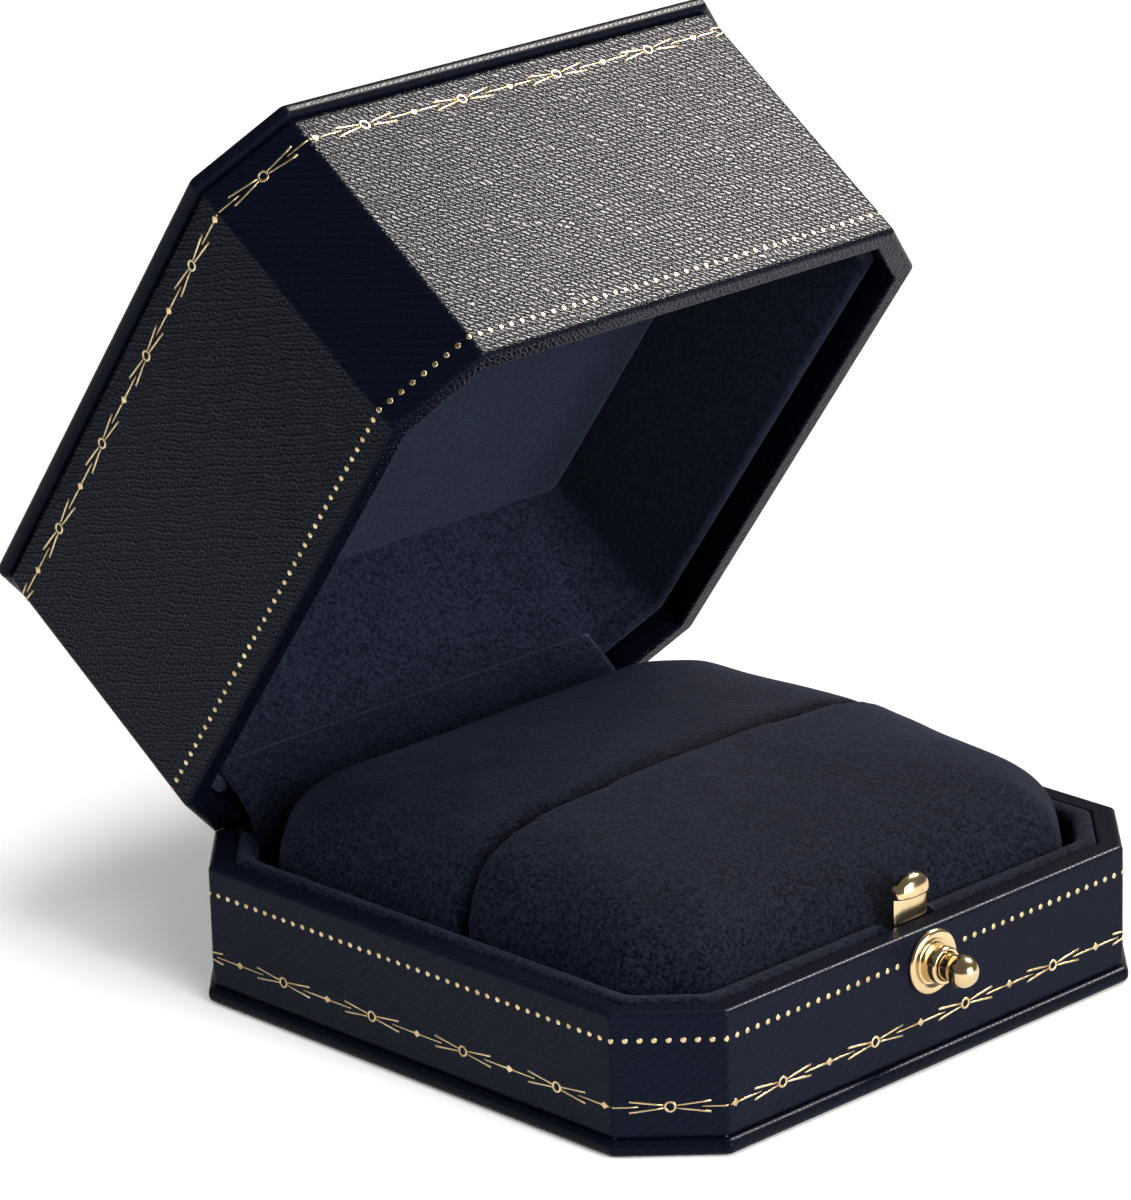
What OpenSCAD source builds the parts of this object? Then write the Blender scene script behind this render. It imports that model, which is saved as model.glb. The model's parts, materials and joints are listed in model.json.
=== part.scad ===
// Octagonal ring box: leather-wrapped base and lid, velvet lining, snap hinge and push-button catch.
// +Z is up, -Y is the front with the push button, +Y is the hinge side.
// The origin is the centre of the underside. The lid is drawn open at open_angle.

/* [Box] */
// Width and depth of the walls across opposite flats
box_w = 70; // [66:0.5:80]
// Length cut off each side at a corner, which makes the box octagonal
corner_cut = 7.5; // [6.5:0.1:10]
// Height of the base's rim above the underside
base_h = 14.1; // [13.8:0.1:16]
// Height of the lid's walls from rim to top plate
lid_h = 31; // [29:0.5:36]
// Thickness of the wrapped plates that close the bottom and the top
plate_t = 1.6; // [1.2:0.1:2]
// How far each plate stands out past the walls
plate_over = 0.55; // [0.3:0.05:1]
// Full thickness of a wall, board and leather together
wall_t = 2.4; // [2.2:0.1:3]
// Angle between the two rims when the lid stands open
open_angle = 54.5; // [40:0.5:60]

/* [Leather] */
// Thickness of the leather on the outside of the walls
skin_t = 0.4; // [0.3:0.05:0.5]
// Thickness of the leather turned down inside the rim
turn_in_t = 0.3; // [0.2:0.05:0.4]
// Thickness of the leather spine over the hinge
spine_t = 0.35; // [0.25:0.05:0.5]
// Length of the spine along the back
spine_w = 52; // [44:1:54]
// Height of the spine glued to each wall
spine_leg = 7; // [5:0.5:9]

/* [Velvet lining] */
// Thickness of the velvet-covered collar inside the base
collar_t = 2; // [1.6:0.1:2.2]
// Height of the collar above the rim
collar_rise = 0.2; // [0:0.1:0.4]
// Thickness of the velvet-covered lining of the lid's walls
liner_t = 1.3; // [1:0.1:1.6]
// Depth of the bare band between the lid's rim and its lining
liner_depth = 2.85; // [2.5:0.05:3.5]
// Depth of the padded ceiling below the lid's rim plane
ceiling_depth = 19.9; // [18:0.1:22]
// Thickness of the velvet flap over the hinge
flap_t = 0.55; // [0.4:0.05:0.7]
// Length of the flap along the back
flap_w = 51.6; // [46:0.2:51.8]
// How far the lining of the lid's back wall leans forward at the ceiling
panel_lean = 6.2; // [4:0.1:7]

/* [Ring cushion] */
// Height of the cushion's crown above the underside
pad_top = 24; // [22:0.5:26]
// Height of the front and back pads' upright sides above the underside
pad_side = 16.4; // [15:0.1:17.5]
// Distance of the ring slot in front of the middle
slot_y = -3; // [-6:0.5:3]
// Gap between the two pads at the ring slot
slot_gap = 0.7; // [0.5:0.1:1.2]
// How much lower the back pad's crown is than the front pad's
back_pad_drop = 0.4; // [0:0.1:1]

/* [Push-button catch] */
// Height of the button's axis above the underside
button_z = 10.6; // [10.2:0.1:10.9]
// Diameter of the button's flange
flange_d = 6.4; // [5.6:0.1:6.6]
// How far the button travels when it is pressed
button_travel = 0.7; // [0.5:0.05:0.7]
// Width of the catch leaf
leaf_w = 4.6; // [4:0.1:5]
// Height of the catch leaf's top above the underside
leaf_top = 18.8; // [18.4:0.1:19.2]

/* [Hinge] */
// Distance of the hinge pin's axis inside the back face
hinge_inset = 0.9; // [0.88:0.01:1]
// Diameter of the hinge pin
pin_d = 0.8; // [0.7:0.05:0.9]
// Outer diameter of the hinge knuckles
knuckle_d = 1.7; // [1.6:0.05:1.7]
// Length of the hinge along the back
hinge_len = 28; // [24:1:32]

/* [Hidden] */
$fn = 48;

// General values
fit = 0.05;
eps = 0.01;
side_gap = 0.3;
far = 90;
navy = [0.09, 0.11, 0.17];
plate_navy = [0.11, 0.13, 0.19];
board_grey = [0.55, 0.53, 0.5];
velvet = [0.07, 0.08, 0.16];
velvet_light = [0.14, 0.16, 0.27];
brass = [0.85, 0.68, 0.36];
steel = [0.6, 0.6, 0.62];

// Planes of the walls
half_w = box_w / 2;
inner_w = box_w - 2 * wall_t;
rim_gap = 0.06;
lid_z0 = base_h + rim_gap;
lid_z1 = lid_z0 + lid_h;
wall_in_y = -half_w + wall_t;

// Hinge axis and its cut-outs
hinge_y = half_w - hinge_inset;
hinge_z = base_h;
bore_d = pin_d + 0.06;
barrel_r = 1;
bevel_angle = open_angle / 2 + 1;
leaf_t = 0.5;
hinge_leaf_h = 6;
knuckle_end = 6;
lid_knuckle = 3.9;
knuckle_gap = 0.1;

// Lining
flap_grip = 2.4;
collar_in_w = inner_w - 2 * collar_t;
collar_back_drop = 1.7;
collar_back_t = 1.2;
liner_z0 = lid_z0 + liner_depth;
liner_in_w = inner_w - 2 * liner_t;
ceiling_z = lid_z0 + ceiling_depth;
panel_foot_z = liner_z0 + flap_grip + 2 * fit;
panel_lip = 0.8;
ceiling_board_t = 1.2;

// Cushion: each layer is [height, inset from the footprint]
pad_board_t = 0.8;
pad_z0 = plate_t + pad_board_t;
pad_w = collar_in_w - 2 * side_gap;
pad_rise = pad_top - pad_side;
pad_back_y = half_w - 6.6;
pad_layers = [
    [pad_z0, 0.6], [pad_z0 + 1, 0], [pad_side, 0], [pad_side + 0.5 * pad_rise, 1.8],
    [pad_side + 0.75 * pad_rise, 4], [pad_side + 0.92 * pad_rise, 7.5], [pad_top, 12.5]
];

// Catch leaf and its seat
leaf_y = wall_in_y + 2 * fit;
leaf_thick = 0.5;
leaf_z0 = 2.2;
leaf_pivot_z = 3;
hook_reach = 1.1;
hook_z = 16.6;
rivet_x = 1.2;
rivet_shank_d = 0.8;
rivet_head_d = 1.5;
rivet_grip = 1.3;
rivet_head_t = 0.3;
rivet_play = 0.2;
notch_w = leaf_w + 1.8;
strike_w = 9;
strike_t = 0.4;
strike_z0 = lid_z0 + 0.8;
strike_z1 = lid_z0 + 6.4;
window_w = leaf_w + 0.8;
window_z0 = hook_z - 0.2;
window_z1 = leaf_top + 0.6;
mortise_depth = 1.6;
strike_rivet_x = 3.6;
strike_rivet_z = (strike_z0 + strike_z1) / 2;
strike_shank_d = 0.6;
strike_head_d = 1;
strike_head_t = 0.2;

// Button
sleeve_d = 3;
stem_d = 2;
collar_d = 3.7;
counterbore_d = 2.84;
flange_t = 0.55;
collar_len = 1.5;
neck_len = 0.7;
neck_r = 1.3;
ball_r = 1.6;
ball_reach = 3.9;

// Corner cut of an octagon whose flats lie inside the walls' outer faces by the given inset
function inset_cut(w) = corner_cut - (box_w - w) / 2 * (2 - sqrt(2));

// Point on a cubic Bezier curve
function bezier(a, b, c, d, t) =
    pow(1 - t, 3) * a + 3 * pow(1 - t, 2) * t * b + 3 * (1 - t) * pow(t, 2) * c + pow(t, 3) * d;

// Place of a closed-lid point [y, z] when the lid is open
function opened(p) = [
    hinge_y + (p[0] - hinge_y) * cos(open_angle) + (p[1] - hinge_z) * sin(open_angle),
    hinge_z - (p[0] - hinge_y) * sin(open_angle) + (p[1] - hinge_z) * cos(open_angle)
];

// Unit vector to the left of the way from a to b, for a path that runs from the lid down to the base
function left_of(a, b) = [a[1] - b[1], b[0] - a[0]] / norm(b - a);

module octagon(w, cut) {
    h = w / 2;
    k = h - cut;
    polygon([[-k, -h], [k, -h], [h, -k], [h, k], [k, h], [-k, h], [-h, k], [-h, -k]]);
}

// Straight octagonal prism between two heights
module prism(w, cut, z0, z1) {
    translate([0, 0, z0])
        linear_extrude(z1 - z0)
            octagon(w, cut);
}

// Octagonal ring between two heights
module ring(w_out, w_in, z0, z1) {
    difference() {
        prism(w_out, inset_cut(w_out), z0, z1);
        prism(w_in, inset_cut(w_in), z0 - 1, z1 + 1);
    }
}

// Box that is centred on x and spans the given y and z
module block(w, y0, y1, z0, z1) {
    translate([-w / 2, y0, z0])
        cube([w, y1 - y0, z1 - z0]);
}

// Solid along x from a y-z outline
module along_x(w, points) {
    translate([-w / 2, 0, 0])
        rotate([90, 0, 90])
            linear_extrude(w)
                polygon(points);
}

// Cylinder along y from y0 to y1
module y_rod(d, y0, y1) {
    translate([0, y0, 0])
        rotate([-90, 0, 0])
            cylinder(d = d, h = y1 - y0);
}

// Turns the closed lid about the hinge axis to its open place
module opened_lid() {
    translate([0, hinge_y, hinge_z])
        rotate([-open_angle, 0, 0])
            translate([0, -hinge_y, -hinge_z])
                children();
}

// Wrapped board with eased edges
module plate(z0) {
    ease = 0.35;
    w = box_w + 2 * plate_over;
    hull() {
        prism(w - 2 * ease, inset_cut(w - 2 * ease), z0, z0 + plate_t);
        prism(w, inset_cut(w), z0 + ease, z0 + plate_t - ease);
    }
}

// Space behind the hinge axis that lets the back edges meet as the open stop; side is -1 below, 1 above
module back_bevel(side, rim_z) {
    run = 2;
    edge = hinge_z + side * run * tan(bevel_angle);
    along_x(far, [
        [hinge_y, rim_z - side], [hinge_y + run, rim_z - side], [hinge_y + run, edge], [hinge_y, hinge_z]
    ]);
}

// Room for the knuckles and kerf for a hinge leaf; side is -1 in the base, 1 in the lid
module hinge_pocket(side) {
    notch_end = hinge_z + side * barrel_r;
    leaf_end = hinge_z + side * (barrel_r + hinge_leaf_h);
    block(hinge_len + 0.4, hinge_y - barrel_r, half_w + 1, min(hinge_z - side, notch_end),
        max(hinge_z - side, notch_end));
    block(hinge_len, hinge_y - leaf_t / 2, hinge_y + leaf_t / 2, min(hinge_z, leaf_end), max(hinge_z, leaf_end));
}

// Straight tube along x, centred on the hinge axis
module knuckle(x0, x1) {
    translate([x0, hinge_y, hinge_z])
        rotate([0, 90, 0])
            cylinder(d = knuckle_d, h = x1 - x0);
}

// Hinge leaf with knuckles over the given x spans; side is -1 in the base, 1 in the lid
module hinge_leaf(side, spans) {
    plate_near = hinge_z + side * barrel_r;
    plate_far = hinge_z + side * (barrel_r + hinge_leaf_h);
    difference() {
        union() {
            block(hinge_len, hinge_y - leaf_t / 2, hinge_y + leaf_t / 2, min(plate_near, plate_far),
                max(plate_near, plate_far));
            for (s = spans) {
                knuckle(s[0], s[1]);
                translate([s[0], hinge_y - leaf_t / 2, min(hinge_z, plate_near)])
                    cube([s[1] - s[0], leaf_t, barrel_r]);
            }
        }
        translate([-hinge_len, hinge_y, hinge_z])
            rotate([0, 90, 0])
                cylinder(d = bore_d, h = 2 * hinge_len);
    }
}

// One cushion body before it is parted at the ring slot
module cushion(drop) {
    hull() {
        for (layer = pad_layers) {
            w = pad_w - 2 * layer[1];
            shift = layer[1] > 1 ? drop * (layer[0] - pad_side) / pad_rise : 0;
            translate([0, 0, layer[0] - shift])
                linear_extrude(eps)
                    octagon(w, inset_cut(w) + 1.5);
        }
    }
}

module bottom_plate() {
    color(plate_navy)
        plate(0);
}

// Cuts that the base's board and leather share
module base_wall_cuts() {
    back_bevel(-1, base_h);
    hinge_pocket(-1);
    translate([0, 0, button_z])
        y_rod(sleeve_d, -half_w - 1, wall_in_y + 1);
    for (x = [-rivet_x, rivet_x]) {
        translate([x, 0, leaf_pivot_z])
            y_rod(rivet_shank_d, wall_in_y - rivet_grip, wall_in_y + 1);
    }
}

module base_frame() {
    color(board_grey)
        difference() {
            ring(box_w - 2 * skin_t, inner_w + 2 * turn_in_t, plate_t, base_h - skin_t);
            base_wall_cuts();
        }
}

module base_cover() {
    color(navy)
        difference() {
            ring(box_w, inner_w, plate_t, base_h);
            ring(box_w - 2 * skin_t, inner_w + 2 * turn_in_t, plate_t - 1, base_h - skin_t);
            base_wall_cuts();
        }
}

module base_collar() {
    back_y = inner_w / 2 - collar_back_t;
    color(velvet)
        difference() {
            ring(inner_w, collar_in_w, plate_t, base_h + collar_rise);
            block(notch_w, wall_in_y - 1, wall_in_y + collar_t + 1, 0, far);
            block(flap_w + 1, 0, far, base_h - collar_back_drop, far);
            block(flap_w + 1, 0, back_y, 0, far);
        }
}

module pad_board() {
    w = collar_in_w - side_gap;
    color(board_grey)
        difference() {
            prism(w, inset_cut(w), plate_t, pad_z0);
            block(far, pad_back_y, far, 0, far);
        }
}

module front_pad() {
    color(velvet_light)
        intersection() {
            cushion(0);
            block(far, -far, slot_y - slot_gap / 2, 0, far);
        }
}

module back_pad() {
    color(velvet_light)
        intersection() {
            cushion(back_pad_drop);
            block(far, slot_y + slot_gap / 2, pad_back_y, 0, far);
        }
}

module top_plate() {
    color(plate_navy)
        opened_lid()
            plate(lid_z1);
}

// Cuts that the lid's board and leather share, with the lid closed
module lid_wall_cuts() {
    back_bevel(1, lid_z0);
    hinge_pocket(1);
    block(window_w, wall_in_y - mortise_depth, wall_in_y + 1, window_z0, window_z1);
    block(strike_w, wall_in_y - strike_t, wall_in_y + 1, strike_z0, strike_z1);
    for (x = [-strike_rivet_x, strike_rivet_x]) {
        translate([x, 0, strike_rivet_z])
            y_rod(strike_shank_d, wall_in_y - mortise_depth, wall_in_y);
    }
}

module lid_frame() {
    color(board_grey)
        opened_lid()
            difference() {
                ring(box_w - 2 * skin_t, inner_w + 2 * turn_in_t, lid_z0 + skin_t, lid_z1);
                lid_wall_cuts();
            }
}

module lid_cover() {
    color(navy)
        opened_lid()
            difference() {
                ring(box_w, inner_w, lid_z0, lid_z1);
                ring(box_w - 2 * skin_t, inner_w + 2 * turn_in_t, lid_z0 + skin_t, lid_z1 + 1);
                lid_wall_cuts();
            }
}

module lid_liner() {
    color(velvet)
        opened_lid()
            difference() {
                ring(inner_w, liner_in_w, liner_z0, lid_z1);
                block(strike_w + 0.8, -far, 0, 0, strike_z1 + 0.4);
            }
}

module ceiling_board() {
    w = liner_in_w - 2 * fit;
    color(board_grey)
        opened_lid()
            prism(w, inset_cut(w), lid_z1 - ceiling_board_t, lid_z1);
}

module ceiling_pad() {
    w = liner_in_w - 2 * fit;
    ease = 1;
    top = lid_z1 - ceiling_board_t;
    color(velvet)
        opened_lid()
            hull() {
                prism(w, inset_cut(w), ceiling_z + ease, top);
                prism(w - 2 * ease, inset_cut(w - 2 * ease), ceiling_z, top);
            }
}

// Velvet-covered lining of the lid's back wall, leaning forward from the flap to the ceiling
module back_panel() {
    w = liner_in_w - 2 * fit;
    back_y = w / 2;
    color(velvet)
        opened_lid()
            intersection() {
                prism(w, inset_cut(w), panel_foot_z, ceiling_z);
                along_x(box_w, [
                    [back_y + 1, panel_foot_z - 1], [back_y - panel_lip, panel_foot_z - 1],
                    [back_y - panel_lip, panel_foot_z], [back_y - panel_lean, ceiling_z],
                    [back_y - panel_lean, ceiling_z + 1], [back_y + 1, ceiling_z + 1]
                ]);
            }
}

module hinge_base_leaf() {
    color(brass)
        hinge_leaf(-1, [[-hinge_len / 2, -hinge_len / 2 + knuckle_end], [hinge_len / 2 - knuckle_end, hinge_len / 2]]);
}

module hinge_lid_leaf() {
    near = hinge_len / 2 - knuckle_end - knuckle_gap;
    color(brass)
        opened_lid()
            hinge_leaf(1, [[-near, -near + lid_knuckle], [near - lid_knuckle, near]]);
}

module hinge_pin() {
    color(steel)
        translate([-hinge_len / 2, hinge_y, hinge_z])
            rotate([0, 90, 0])
                cylinder(d = pin_d, h = hinge_len);
}

// Coil round the pin between the lid's knuckles, with one leg on each leaf
module hinge_spring() {
    coil_d = 1.5;
    coil_bore = 1;
    coil_half = hinge_len / 2 - knuckle_end - lid_knuckle - 3 * knuckle_gap;
    leg = 0.3;
    leg_y = hinge_y - leaf_t / 2 - leg - 0.02;
    leg_near = 0.45;
    leg_far = barrel_r - fit;
    color(steel)
        difference() {
            union() {
                translate([-coil_half, hinge_y, hinge_z])
                    rotate([0, 90, 0])
                        cylinder(d = coil_d, h = 2 * coil_half);
                translate([-coil_half, leg_y, hinge_z - leg_far])
                    cube([leg, leg, leg_far - leg_near]);
                opened_lid()
                    translate([coil_half - leg, leg_y, hinge_z + leg_near])
                        cube([leg, leg, leg_far - leg_near]);
            }
            translate([-hinge_len, hinge_y, hinge_z])
                rotate([0, 90, 0])
                    cylinder(d = coil_bore, h = 2 * hinge_len);
        }
}

module leather_spine() {
    out_y = half_w + spine_t;
    low = hinge_z - (half_w - hinge_y) * tan(bevel_angle);
    high = 2 * hinge_z - low;
    color(navy)
        union() {
            along_x(spine_w, [[half_w, low - spine_leg], [out_y, low - spine_leg], [out_y, low], [half_w, low]]);
            opened_lid()
                along_x(spine_w, [
                    [half_w, high], [out_y, high - fit], [out_y, high + spine_leg], [half_w, high + spine_leg]
                ]);
        }
}

// Velvet over the hinge, from the lid's lining down behind the back pad
module velvet_flap() {
    face_y = liner_in_w / 2 - flap_t - 3 * fit;
    back_y = inner_w / 2 - collar_back_t - flap_t;
    high = opened([face_y, liner_z0 + flap_grip]);
    bend = opened([face_y, liner_z0 + 0.6]);
    drop = [back_y, base_h - 0.6];
    lift = [back_y, base_h + 1.6];
    steps = 10;
    front = [for (i = [0:steps]) bezier(bend, opened([face_y, lid_z0]), lift, drop, i / steps)];
    path = concat([high], front, [[back_y, pad_z0 + 2]]);
    last = len(path) - 1;
    back = [for (i = [0:last]) path[i] + flap_t * left_of(path[max(i - 1, 0)], path[min(i + 1, last)])];
    color(velvet)
        along_x(flap_w, concat(path, [for (i = [0:last]) back[last - i]]));
}

module button_flange() {
    front_y = -half_w - flange_t;
    color(brass)
        translate([0, 0, button_z])
            difference() {
                union() {
                    y_rod(sleeve_d, -half_w - eps, wall_in_y);
                    y_rod(flange_d, front_y, -half_w);
                    y_rod(collar_d, front_y - collar_len, -half_w);
                }
                y_rod(stem_d + 2 * fit, -far, far);
                y_rod(counterbore_d, front_y - collar_len - 1, front_y);
            }
}

// Turned button: stem through the wall, shoulder in the collar, neck and ball outside
module push_button() {
    front_y = -half_w - flange_t;
    end_y = leaf_y - 2 * fit;
    ball_y = -half_w - ball_reach;
    shoulder_r = counterbore_d / 2 - 0.07;
    shoulder_y = front_y - button_travel - 0.1;
    neck_y = front_y - collar_len - 0.2;
    color(brass)
        translate([0, 0, button_z])
            union() {
                y_rod(stem_d, ball_y, end_y);
                y_rod(2 * shoulder_r, neck_y, shoulder_y);
                translate([0, neck_y, 0])
                    rotate([90, 0, 0])
                        cylinder(r1 = shoulder_r, r2 = neck_r, h = neck_len);
                y_rod(2 * neck_r, ball_y, neck_y - neck_len);
                translate([0, ball_y, 0])
                    rotate([90, 0, 0])
                        sphere(r = ball_r);
            }
}

// Spring leaf with a hook that reaches forward over the strike plate
module catch_leaf() {
    back_y = leaf_y + leaf_thick;
    tip_y = leaf_y - hook_reach;
    round_r = leaf_w / 2;
    color(brass)
        difference() {
            intersection() {
                along_x(leaf_w, [
                    [leaf_y, leaf_z0], [back_y, leaf_z0], [back_y, leaf_top - 0.5], [back_y - 0.2, leaf_top - 0.1],
                    [back_y - 0.6, leaf_top], [leaf_y - 0.5, leaf_top - 0.35], [tip_y + 0.15, leaf_top - 1],
                    [tip_y, hook_z + 0.6], [tip_y + 0.15, hook_z + 0.2], [leaf_y, hook_z]
                ]);
                union() {
                    block(leaf_w, -far, far, 0, leaf_top - round_r);
                    translate([0, 0, leaf_top - round_r])
                        y_rod(leaf_w, -half_w - 3, wall_in_y + 3);
                }
            }
            for (x = [-rivet_x, rivet_x]) {
                translate([x, 0, leaf_pivot_z])
                    y_rod(rivet_shank_d + rivet_play, -far, far);
            }
        }
}

module catch_rivets() {
    head_y = leaf_y + leaf_thick + 0.15;
    color(brass)
        for (x = [-rivet_x, rivet_x]) {
            translate([x, 0, leaf_pivot_z]) {
                y_rod(rivet_shank_d, wall_in_y - rivet_grip, head_y);
                y_rod(rivet_head_d, head_y, head_y + rivet_head_t);
            }
        }
}

module strike_plate() {
    color(brass)
        opened_lid()
            difference() {
                block(strike_w, wall_in_y - strike_t, wall_in_y, strike_z0, strike_z1);
                block(window_w, wall_in_y - 2, wall_in_y + 2, window_z0, window_z1);
                for (x = [-strike_rivet_x, strike_rivet_x]) {
                    translate([x, 0, strike_rivet_z])
                        y_rod(strike_shank_d, wall_in_y - 2, wall_in_y + 2);
                }
            }
}

module strike_rivets() {
    color(brass)
        opened_lid()
            for (x = [-strike_rivet_x, strike_rivet_x]) {
                translate([x, 0, strike_rivet_z]) {
                    y_rod(strike_shank_d, wall_in_y - mortise_depth, wall_in_y);
                    y_rod(strike_head_d, wall_in_y, wall_in_y + strike_head_t);
                }
            }
}

bottom_plate();
base_frame();
base_cover();
base_collar();
pad_board();
front_pad();
back_pad();
top_plate();
lid_frame();
lid_cover();
lid_liner();
ceiling_board();
ceiling_pad();
back_panel();
hinge_base_leaf();
hinge_lid_leaf();
hinge_pin();
hinge_spring();
leather_spine();
velvet_flap();
button_flange();
push_button();
catch_leaf();
catch_rivets();
strike_plate();
strike_rivets();
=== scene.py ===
"""Open ring box: leatherette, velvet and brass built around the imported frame.

Sizes are in millimetres unless a name says otherwise.
"""

import json
import math

import bmesh
import bpy
from mathutils import Matrix, Vector, noise


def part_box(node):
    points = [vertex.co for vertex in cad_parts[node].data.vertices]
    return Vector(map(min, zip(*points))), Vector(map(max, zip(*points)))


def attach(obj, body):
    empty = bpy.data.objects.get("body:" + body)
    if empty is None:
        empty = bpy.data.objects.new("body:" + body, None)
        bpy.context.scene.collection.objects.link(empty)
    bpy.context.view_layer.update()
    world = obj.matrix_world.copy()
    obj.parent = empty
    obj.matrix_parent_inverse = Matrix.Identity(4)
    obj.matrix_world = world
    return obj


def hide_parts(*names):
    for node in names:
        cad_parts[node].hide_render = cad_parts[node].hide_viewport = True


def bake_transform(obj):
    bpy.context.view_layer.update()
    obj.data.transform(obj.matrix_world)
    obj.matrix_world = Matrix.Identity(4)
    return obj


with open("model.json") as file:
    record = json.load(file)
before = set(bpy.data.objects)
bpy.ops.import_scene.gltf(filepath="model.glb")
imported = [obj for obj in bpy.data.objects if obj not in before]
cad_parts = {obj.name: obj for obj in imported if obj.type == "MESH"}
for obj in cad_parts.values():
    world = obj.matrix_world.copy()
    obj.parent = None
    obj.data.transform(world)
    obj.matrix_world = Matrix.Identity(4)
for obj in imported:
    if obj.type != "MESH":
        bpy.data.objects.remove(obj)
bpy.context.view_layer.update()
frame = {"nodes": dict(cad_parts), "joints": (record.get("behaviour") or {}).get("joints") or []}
scene = bpy.context.scene

MM = 0.001
TAN_22 = math.tan(math.radians(22.5))


def box_mm(node):
    """Lowest and highest corner of a CAD node at rest, in millimetres."""
    low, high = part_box(node)
    return low / MM, high / MM


# ---------------------------------------------------------------- camera
LENS_MM, SENSOR_MM = 182.93, 36
CAM_AZIMUTH, CAM_ELEVATION, CAM_ROLL = (math.radians(a) for a in (-43.956, 18.925, 1.673))
CAM_OFFSET = (-10.046, 36.356, 598.427)  # along the camera's right, up and back


def make_camera():
    back = Vector((
        math.sin(CAM_AZIMUTH) * math.cos(CAM_ELEVATION),
        -math.cos(CAM_AZIMUTH) * math.cos(CAM_ELEVATION),
        math.sin(CAM_ELEVATION),
    ))
    right = Vector((math.cos(CAM_AZIMUTH), math.sin(CAM_AZIMUTH), 0))
    up = back.cross(right)
    turn_cos, turn_sin = math.cos(CAM_ROLL), math.sin(CAM_ROLL)
    right, up = right * turn_cos - up * turn_sin, right * turn_sin + up * turn_cos
    place = (right * CAM_OFFSET[0] + up * CAM_OFFSET[1] + back * CAM_OFFSET[2]) * MM
    data = bpy.data.cameras.new("camera")
    data.lens, data.sensor_width, data.sensor_fit = LENS_MM, SENSOR_MM, "AUTO"
    data.clip_start, data.clip_end = 0.05, 20
    camera = bpy.data.objects.new("camera", data)
    scene.collection.objects.link(camera)
    matrix = Matrix((right, up, back)).transposed().to_4x4()
    matrix.translation = place
    camera.matrix_world = matrix
    scene.camera = camera


make_camera()

# ---------------------------------------------------------------- sizes
base_cover_low, base_cover_high = box_mm("base_cover")
HALF = base_cover_high.x  # half the box's width across flats
CUT = 7.5  # corner cut
PLATE_Z = base_cover_low.z  # top of the bottom plate
RIM_Z = base_cover_high.z
PLATE_OVER = box_mm("bottom_plate")[1].x - HALF
WALL = 2.4
RIM_GAP = 0.06
LID_H = 31.0
LID_Z0 = RIM_Z + RIM_GAP
LID_Z1 = LID_Z0 + LID_H
LINER_DEPTH = 2.85
CEILING_DEPTH = 19.9
LINER_T = 1.3
COLLAR_T = 2.0
COLLAR_HIGH = box_mm("base_collar")[1].z
NOTCH_W = 6.4
FLAP_W = box_mm("velvet_flap")[1].x * 2
SPINE_W = box_mm("leather_spine")[1].x * 2
SLOT_Y = (box_mm("front_pad")[1].y + box_mm("back_pad")[0].y) / 2
SLOT_GAP = box_mm("back_pad")[0].y - box_mm("front_pad")[1].y

hinge = next(j for j in frame["joints"] if j["name"] == "lid_hinge")
HINGE = Vector(hinge["pos_m"]) / MM
OPEN_ANGLE = math.radians(-min(hinge["range_deg"]))
BEVEL_TAN = math.tan(OPEN_ANGLE / 2 + math.radians(1))
OPENED = Matrix.Translation(HINGE) @ Matrix.Rotation(-OPEN_ANGLE, 4, "X") @ Matrix.Translation(-HINGE)
GLUE_GAP = 0.03  # between a velvet lining and the wall it is glued to


# ---------------------------------------------------------------- node helpers
class Nodes:
    """Small helper that adds shader nodes and links them."""

    def __init__(self, name):
        self.material = bpy.data.materials.new(name)
        self.material.use_nodes = True
        self.tree = self.material.node_tree
        self.shader = self.tree.nodes["Principled BSDF"]

    def add(self, kind, inputs=None, **props):
        made = self.tree.nodes.new(kind)
        for key, value in props.items():
            setattr(made, key, value)
        for key, value in (inputs or {}).items():
            if isinstance(value, bpy.types.NodeSocket):
                self.tree.links.new(value, made.inputs[key])
            else:
                made.inputs[key].default_value = value
        return made

    def math(self, operation, a, b=0.0, c=0.0):
        return self.add("ShaderNodeMath", {0: a, 1: b, 2: c}, operation=operation).outputs[0]

    def ramp(self, value, *stops):
        made = self.add("ShaderNodeValToRGB", {"Fac": value})
        elements = made.color_ramp.elements
        while len(elements) < len(stops):
            elements.new(0.5)
        for element, (place, colour) in zip(elements, stops):
            element.position = place
            element.color = (*colour, 1)
        return made.outputs["Color"]

    def noise(self, vector, scale, detail=2.0, roughness=0.5, distortion=0.0, output="Fac"):
        inputs = {"Vector": vector, "Scale": scale, "Detail": detail, "Roughness": roughness,
                  "Distortion": distortion}
        return self.add("ShaderNodeTexNoise", inputs).outputs[output]

    def bump(self, height, strength, distance):
        inputs = {"Height": height, "Strength": strength, "Distance": distance}
        return self.add("ShaderNodeBump", inputs).outputs["Normal"]

    def set(self, **values):
        for key, value in values.items():
            socket = self.shader.inputs[key.replace("_", " ")]
            if isinstance(value, bpy.types.NodeSocket):
                self.tree.links.new(value, socket)
            elif isinstance(value, tuple) and len(value) == 3:
                socket.default_value = (*value, 1) if len(socket.default_value) == 4 else value
            else:
                socket.default_value = value
        return self.material


GRAIN_ANGLE = -41
GRAIN_DASH = (1.02, 0.435)  # length and pitch of the embossed dashes


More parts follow.
